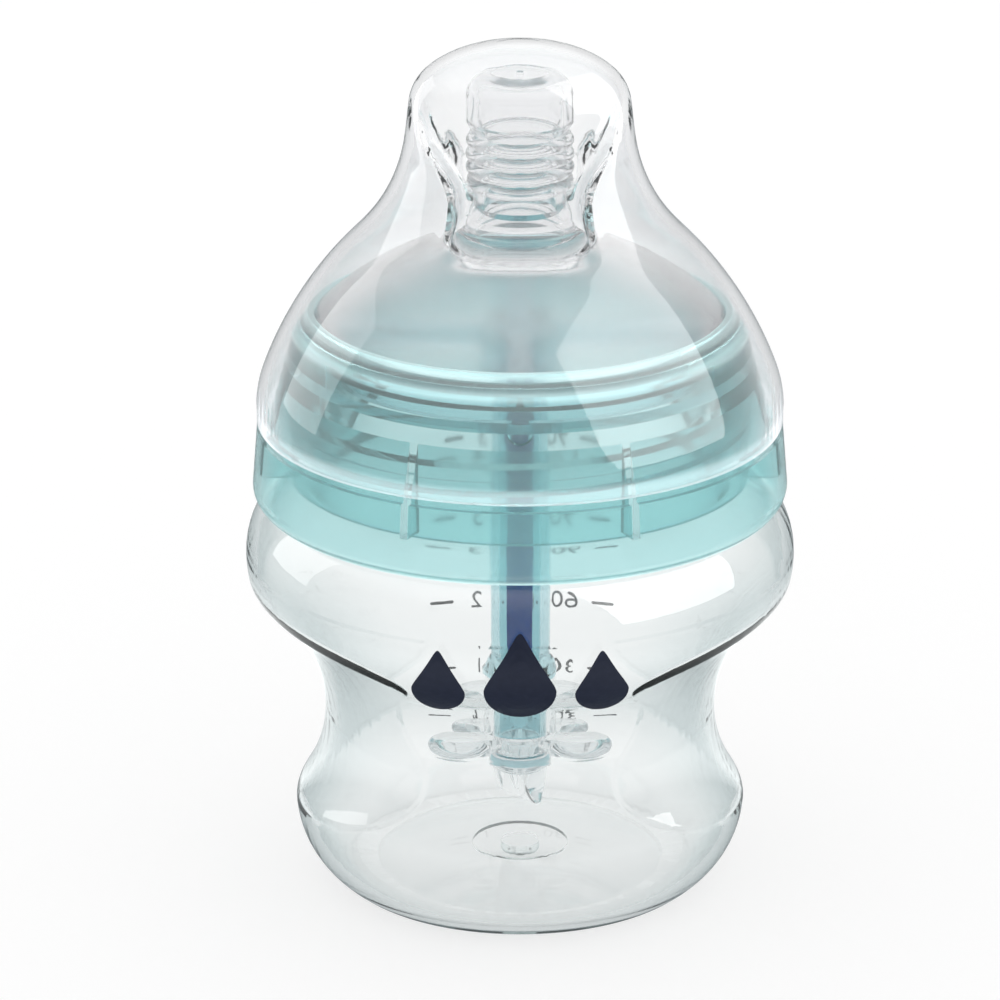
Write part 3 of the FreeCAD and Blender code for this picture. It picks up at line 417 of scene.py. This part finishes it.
def dress(node, material):
    """Give a CAD piece its finish."""
    mesh = nodes[node].data
    mesh.materials.clear()
    mesh.materials.append(material)
    print(node, "wears", material.name)


# %% Clear plastic and silicone
# Painted shade for the side walls: strong on the bottle, soft on the cap.
SHADED_SIDES = (
    (0, (0.99, 0.995, 0.995)), (0.2, (0.985, 0.992, 0.992)), (0.35, (0.94, 0.96, 0.96)),
    (0.5, (0.79, 0.845, 0.85)), (0.65, (0.61, 0.68, 0.69)), (0.8, (0.49, 0.57, 0.58)),
    (1, (0.47, 0.54, 0.55)),
)
SOFT_SIDE_SHADE = (
    (0, (0.985, 0.988, 0.99)), (0.2, (0.965, 0.968, 0.972)), (0.4, (0.92, 0.925, 0.935)),
    (0.6, (0.86, 0.87, 0.885)), (1, (0.76, 0.775, 0.79)),
)
SILICONE_TINT = (0.6, 0.66, 0.68)
DOME_FOOT = 0.088
DOME_TOP = 0.094
DOME_HAZE = 0.2

clear_bottle = see_through(
    "clear_bottle", (0.99, 0.996, 0.995), ior=1.47, transmission=1.0, smooth=0.01, hazy=0.04,
)
tint_depth(clear_bottle, (0.50, 0.62, 0.61), density=40)
paint_side_shade(clear_bottle, SHADED_SIDES)
clear_cap = see_through(
    "clear_cap", (0.99, 0.995, 0.996), ior=1.47, transmission=1.0, smooth=0.02, hazy=0.06,
)
paint_side_shade(clear_cap, SOFT_SIDE_SHADE)
clear_teat = see_through(
    "clear_teat", (0.99, 0.99, 0.995), ior=1.41, transmission=0.97, smooth=0.02, hazy=0.05,
)
tint_depth(clear_teat, SILICONE_TINT, density=12)
frost_below(clear_teat, DOME_FOOT, DOME_TOP, DOME_HAZE)
clear_silicone = see_through(
    "clear_silicone", (0.985, 0.99, 0.99), ior=1.41, transmission=1.0, smooth=0.02, hazy=0.08,
)
tint_depth(clear_silicone, SILICONE_TINT, density=40)

# Painted glow: a bright line along the cap's rim and a faint one at the foot of the teat's dome.
CAP_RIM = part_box("travel_cap")[0][2]
RIM_LIGHT = (0.14, 0.145, 0.15)
DOME_LIGHT = (0.045, 0.04, 0.04)
NO_LIGHT = (0, 0, 0)
paint_edge_glow(clear_cap, (
    (CAP_RIM, RIM_LIGHT), (CAP_RIM + 0.0014, RIM_LIGHT), (CAP_RIM + 0.0022, NO_LIGHT),
))
paint_edge_glow(clear_teat, ((DOME_FOOT, DOME_LIGHT), (DOME_TOP, NO_LIGHT)))
print("clear finishes:", clear_bottle.name, clear_cap.name, clear_teat.name, clear_silicone.name)

# %% Tinted plastic
tinted_ring = see_through(
    "tinted_ring", (0.63, 0.92, 0.93), ior=1.47, transmission=0.84, smooth=0.04, hazy=0.10,
)
tinted_tube = see_through(
    "tinted_tube", (0.52, 0.74, 0.78), ior=1.36, transmission=0.98, smooth=0.02, hazy=0.06,
)
blue_strip = see_through(
    "blue_strip", (0.003, 0.12, 0.62), ior=1.45, transmission=0.0, smooth=0.35, hazy=0.55, peel=0.05,
)

RING_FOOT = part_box("screw_ring")[0][2]
RING_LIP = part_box("screw_ring")[1][2]
RING_CORNER = RING_LIP - 0.0028
# Painted glow: bright lines at the ring's foot, corner and lip.
EDGE_LIGHT = (0.22, 0.27, 0.27)
STRIP_SHINE = 0.1
paint_edge_glow(tinted_ring, (
    (RING_FOOT, EDGE_LIGHT), (RING_FOOT + 0.0005, EDGE_LIGHT), (RING_FOOT + 0.0010, NO_LIGHT),
    (RING_CORNER - 0.0008, NO_LIGHT), (RING_CORNER, EDGE_LIGHT), (RING_CORNER + 0.0008, NO_LIGHT),
    (RING_LIP - 0.0012, NO_LIGHT), (RING_LIP - 0.0006, EDGE_LIGHT), (RING_LIP, EDGE_LIGHT),
))
blue_strip.node_tree.nodes["Principled BSDF"].inputs["Specular IOR Level"].default_value = STRIP_SHINE

dress("bottle_body", clear_bottle)
dress("travel_cap", clear_cap)
dress("screw_ring", tinted_ring)
dress("vent_disc", tinted_tube)
dress("vent_tube", tinted_tube)
dress("teat", clear_teat)
dress("star_valve", clear_silicone)
dress("heat_strip", blue_strip)

# %% [markdown]
# ## Rounding the cap
# The real cap is moulded, so the edges of its thumb notches are round and its wall is nearly even. A Bevel
# could round them on a mesh of clean quads, but a CAD mesh has long thin triangles. So the outer skin of a
# copy of the CAD cap is rebuilt from small even faces, smoothed near the knob until the edges melt, cut off
# above the rim and drawn down to it again. Solidify then gives the wall. Behind the edges of the notches
# the inner wall would fold through itself, so it is rounded there. The rim keeps its place, because there
# the cap stands on the ring.

# %% Cap helpers
CAP_WALL = 0.0012
SAME_PLACE = 0.000001
KNOB_FOOT = 0.089
KNOB_SOFT = 0.093
CROWN_FOOT = 0.108
CROWN_TOP = 0.113
CROWN_KEPT = 0.8


def apply(piece, kind, **settings):
    """Add a modifier with these settings and make it final."""
    modifier = piece.modifiers.new(kind.lower(), kind)
    for name, value in settings.items():
        setattr(modifier, name, value)
    pick(piece)
    bpy.ops.object.modifier_apply(modifier=modifier.name)


def edit(piece):
    """Go into edit mode with nothing of the piece selected."""
    pick(piece)
    bpy.ops.object.mode_set(mode="EDIT")
    bpy.ops.mesh.select_all(action="DESELECT")


def copy_of(node, name):
    """A closed copy of a CAD piece."""
    piece = bpy.data.objects.new(name, nodes[node].data.copy())
    scene.collection.objects.link(piece)
    edit(piece)
    bpy.ops.mesh.select_all(action="SELECT")
    bpy.ops.mesh.remove_doubles(threshold=SAME_PLACE)
    bpy.ops.mesh.normals_make_consistent(inside=False)
    bpy.ops.object.mode_set(mode="OBJECT")
    return piece


def choose_faces(piece, wanted):
    """Select in edit mode the faces that the test wants."""
    edit(piece)
    bpy.ops.mesh.select_mode(type="FACE")
    bpy.ops.object.mode_set(mode="OBJECT")
    for face in piece.data.polygons:
        face.select = wanted(face)
    bpy.ops.object.mode_set(mode="EDIT")


# %% Outer skin of the cap
RIM_NEAR = 0.00005
FACING_DOWN = -0.9
SKIN_NEAR = 0.0002


def is_rim(face):
    """True for the flat ring that the cap stands on."""
    return face.center.z < CAP_RIM + RIM_NEAR and face.normal.z < FACING_DOWN


def is_widest(face):
    """True for the widest faces, which belong to the outer skin."""
    return face.center.xy.length > widest - SKIN_NEAR


cap = copy_of("travel_cap", "soft_cap")
choose_faces(cap, is_rim)
bpy.ops.mesh.delete(type="FACE")
bpy.ops.object.mode_set(mode="OBJECT")
widest = max(face.center.xy.length for face in cap.data.polygons)
choose_faces(cap, is_widest)
bpy.ops.mesh.select_linked()
bpy.ops.mesh.select_all(action="INVERT")
bpy.ops.mesh.delete(type="FACE")
bpy.ops.mesh.select_mode(type="EDGE")
bpy.ops.mesh.select_non_manifold()
bpy.ops.mesh.edge_face_add()
bpy.ops.object.mode_set(mode="OBJECT")
print("outer skin faces:", len(cap.data.polygons))


# %% Unfold the inner wall
PATCH_RINGS = 4
PATCH_ROUNDS = 30
MOST_PATCHES = 8


def folded_vertices(work, first_inner):
    """The inner vertices of faces that cut through other faces."""
    work.faces.ensure_lookup_table()
    tree = BVHTree.FromBMesh(work)
    found = set()
    for one, other in tree.overlap(tree):
        corners = set(work.faces[one].verts)
        if corners.isdisjoint(work.faces[other].verts):
            found |= corners
    return {vertex for vertex in found if vertex.index >= first_inner}


def with_neighbours(vertices, first_inner):
    """These vertices and the rings of inner vertices around them."""
    for _ in range(PATCH_RINGS):
        around = {edge.other_vert(vertex) for vertex in vertices for edge in vertex.link_edges}
        vertices = vertices | around
    return sorted((vertex for vertex in vertices if vertex.index >= first_inner), key=lambda v: v.index)


def unfold(piece, first_inner):
    """Round the inner wall behind sharp edges, where it would fold through itself."""
    work = bmesh.new()
    work.from_mesh(piece.data)
    for _ in range(MOST_PATCHES):
        folded = folded_vertices(work, first_inner)
        print("folded vertices:", len(folded))
        if not folded:
            break
        patch = with_neighbours(folded, first_inner)
        for _ in range(PATCH_ROUNDS):
            bmesh.ops.smooth_vert(
                work, verts=patch, factor=0.5, use_axis_x=True, use_axis_y=True, use_axis_z=True,
            )
    work.to_mesh(piece.data)
    work.free()


# %% Round and thicken the cap
FACE_SIZE = 0.00055
KNOB_ROUNDS = 52
BELL_ROUNDS = 34
RIM_BAND = 0.0012
BELL_FOOT = 0.001
BELL_SOFT = 0.003
SHARP_RIM = math.radians(40)


def weigh(piece, name, weight_at):
    """A vertex group whose weight depends on the place."""
    group = piece.vertex_groups.new(name=name)
    for vertex in piece.data.vertices:
        group.add([vertex.index], weight_at(vertex.co), "REPLACE")
    return name


def ramp(value, low, high):
    """How far a value lies between two others, from 0 to 1."""
    return min(max((value - low) / (high - low), 0), 1)


def knob_weight(place):
    """Full on the knob, little on its crown, none on the bell."""
    return ramp(place.z, KNOB_FOOT, KNOB_SOFT) * (1 - CROWN_KEPT * ramp(place.z, CROWN_FOOT, CROWN_TOP))


def bell_weight(place):
    """Full everywhere but at the rim."""
    return ramp(place.z, CAP_RIM + BELL_FOOT, CAP_RIM + BELL_SOFT)


apply(cap, "REMESH", mode="VOXEL", voxel_size=FACE_SIZE)
apply(cap, "SMOOTH", factor=0.5, iterations=KNOB_ROUNDS, vertex_group=weigh(cap, "knob", knob_weight))
apply(cap, "SMOOTH", factor=0.5, iterations=BELL_ROUNDS, vertex_group=weigh(cap, "bell", bell_weight))
edit(cap)
bpy.ops.mesh.select_all(action="SELECT")
bpy.ops.mesh.bisect(plane_co=(0, 0, CAP_RIM + RIM_BAND), plane_no=(0, 0, 1), clear_inner=True)
bpy.ops.mesh.select_all(action="DESELECT")
bpy.ops.mesh.select_mode(type="EDGE")
bpy.ops.mesh.select_non_manifold()
bpy.ops.mesh.extrude_edges_move(TRANSFORM_OT_translate={"value": (0, 0, -RIM_BAND)})
bpy.ops.object.mode_set(mode="OBJECT")
outer_count = len(cap.data.vertices)
apply(cap, "SOLIDIFY", thickness=CAP_WALL, offset=-1)
unfold(cap, outer_count)
edit(cap)
bpy.ops.mesh.select_all(action="SELECT")
bpy.ops.mesh.normals_make_consistent(inside=False)
bpy.ops.object.mode_set(mode="OBJECT")
bpy.ops.object.shade_smooth_by_angle(angle=SHARP_RIM)
cap.data.materials.clear()
cap.data.materials.append(clear_cap)
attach(cap, "cap")
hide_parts("travel_cap")
print("cap faces:", len(cap.data.polygons), "rim at", round(CAP_RIM, 5))


# %% [markdown]
# ## Printing the bottle
# A clear bottle carries two prints in thin ink: a row of navy milk drops on the front, and a grey measuring
# scale on the back, read from behind. A picture laid on the wall could show them, but ink that is a mesh
# stays sharp and needs no file. Each print starts flat in front of the wall, is wrapped on to it along Y,
# and gets the ink's thickness along Y too.

# %% Ink
INK_THICKNESS = 0.00004
INK_LIFT = 0.00002
INK_SHINE = 0.15


def ink(name, dark, light):
    """Dull ink whose cover is a little uneven."""
    material = bpy.data.materials.new(name)
    material.use_nodes = True
    tree = material.node_tree
    shader = tree.nodes["Principled BSDF"]
    place = add_node(tree, "ShaderNodeTexCoord")
    skin = add_node(tree, "ShaderNodeGroup", node_tree=SKIN)
    cover = add_node(tree, "ShaderNodeValToRGB")
    shader.inputs["Specular IOR Level"].default_value = INK_SHINE
    skin.inputs["Smooth"].default_value = 0.3
    skin.inputs["Hazy"].default_value = 0.5
    cover.color_ramp.elements[0].color = (*dark, 1)
    cover.color_ramp.elements[1].color = (*light, 1)
    tree.links.new(place.outputs["Object"], skin.inputs["Place"])
    tree.links.new(skin.outputs["Roughness"], shader.inputs["Roughness"])
    tree.links.new(skin.outputs["Peel"], cover.inputs["Fac"])
    tree.links.new(cover.outputs["Color"], shader.inputs["Base Color"])
    return material


navy_ink = ink("navy_ink", (0.010, 0.014, 0.030), (0.016, 0.021, 0.042))
grey_ink = ink("grey_ink", (0.20, 0.20, 0.21), (0.27, 0.27, 0.28))
print("inks:", navy_ink.name, grey_ink.name)


def wrap_print(piece, material):
    """Wrap flat ink on to the bottle along Y and thicken it."""
    pick(piece)
    bpy.ops.object.transform_apply(location=True, rotation=True, scale=True)
    apply(
        piece, "SHRINKWRAP", target=nodes["bottle_body"], wrap_method="PROJECT", wrap_mode="ABOVE_SURFACE",
        use_project_y=True, use_negative_direction=True, use_positive_direction=True, offset=INK_LIFT,
    )
    outward = math.copysign(INK_THICKNESS, piece.data.vertices[0].co.y)
    edit(piece)
    bpy.ops.mesh.select_all(action="SELECT")
    bpy.ops.mesh.extrude_region_move(TRANSFORM_OT_translate={"value": (0, outward, 0)})
    bpy.ops.mesh.select_all(action="SELECT")
    bpy.ops.mesh.normals_make_consistent(inside=False)
    bpy.ops.object.mode_set(mode="OBJECT")
    piece.data.materials.clear()
    piece.data.materials.append(material)
    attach(piece, "bottle")
    print(piece.name, "faces:", len(piece.data.polygons))


# %% Front mark
FRONT = -0.050
UPRIGHT = (math.pi / 2, 0, 0)
LEVEL_DROP = 5.7
MARK_HEIGHT = 0.0404
DROP_RADIUS = 0.0048
DROP_TIP = 0.0040
DROP_PINCH = 0.62
DROPS = (("left", -0.0108, 0.74), ("middle", 0, 1), ("right", 0.0108, 0.74))


def drop(name, across, up, radius, tip):
    """A flat drop: a disc whose upper half is pinched and drawn up to a tip."""
    pick()
    bpy.ops.mesh.primitive_circle_add(
        vertices=64, radius=radius, fill_type="TRIFAN", location=(across, FRONT, up), rotation=UPRIGHT,
    )
    piece = bpy.context.object
    piece.name = name
    bpy.ops.object.mode_set(mode="EDIT")
    bpy.ops.mesh.select_all(action="SELECT")
    bpy.ops.mesh.subdivide(number_cuts=5)
    bpy.ops.object.mode_set(mode="OBJECT")
    for vertex in piece.data.vertices:
        rise = max(vertex.co.y / radius, 0)
        vertex.co.x *= 1 - DROP_PINCH * rise ** 1.5
        vertex.co.y += tip * rise ** 2
    return piece


for place, across, size in DROPS:
    level = MARK_HEIGHT - LEVEL_DROP * across ** 2
    wrap_print(drop("front_drop_" + place, across, level, DROP_RADIUS * size, DROP_TIP * size), navy_ink)


# %% Back scale
BACK = 0.050
FACING_BACK = (math.pi / 2, 0, math.pi)
SCALE = (("30", "1", 0.0155), ("60", "2", 0.0282), ("90", "3", 0.0395), ("120", "4", 0.0473))
COLUMN = 0.0064
NUMBER_SIZE = 0.0042
UNIT_HEIGHT = 0.0535
UNIT_SIZE = 0.0034
TICKS = (("left", -0.0132, -0.0098), ("right", 0.0104, 0.0138))
TICK_WIDTH = 0.0005


def label(name, words, across, up, height):
    """Flat letters that read from behind the bottle."""
    pick()
    bpy.ops.object.text_add(location=(across, BACK, up), rotation=FACING_BACK)
    piece = bpy.context.object
    piece.name = name
    piece.data.body = words
    piece.data.size = height
    piece.data.align_x = "CENTER"
    piece.data.align_y = "CENTER"
    bpy.ops.object.convert(target="MESH")
    edit(piece)
    bpy.ops.mesh.select_all(action="SELECT")
    bpy.ops.mesh.remove_doubles(threshold=SAME_PLACE)
    bpy.ops.mesh.quads_convert_to_tris()
    bpy.ops.mesh.beautify_fill()
    bpy.ops.mesh.subdivide(number_cuts=3)
    bpy.ops.object.mode_set(mode="OBJECT")
    return piece


def tick(name, left, right, up, height):
    """A flat bar with round ends."""
    pick()
    middle = (left + right) / 2
    bpy.ops.mesh.primitive_grid_add(
        x_subdivisions=40, y_subdivisions=6, size=1, location=(middle, BACK, up), rotation=UPRIGHT,
    )
    piece = bpy.context.object
    piece.name = name
    piece.scale = (right - left, height, 1)
    bpy.ops.object.transform_apply(location=False, rotation=False, scale=True)
    half = (right - left) / 2
    for vertex in piece.data.vertices:
        end_round = math.sqrt(max(height ** 2 / 4 - vertex.co.y ** 2, 0))
        vertex.co.x *= (half - height / 2 + end_round) / half
    return piece


for amount, ounces, up in SCALE:
    wrap_print(label("scale_" + amount, amount, COLUMN, up, NUMBER_SIZE), grey_ink)
    wrap_print(label("ounces_" + ounces, ounces, -COLUMN, up, NUMBER_SIZE), grey_ink)
    for side, left, right in TICKS:
        wrap_print(tick("tick_" + side + "_" + amount, left, right, up, TICK_WIDTH), grey_ink)
wrap_print(label("scale_ml", "ml", COLUMN, UNIT_HEIGHT, UNIT_SIZE), grey_ink)
wrap_print(label("ounces_oz", "oz", -COLUMN, UNIT_HEIGHT, UNIT_SIZE), grey_ink)
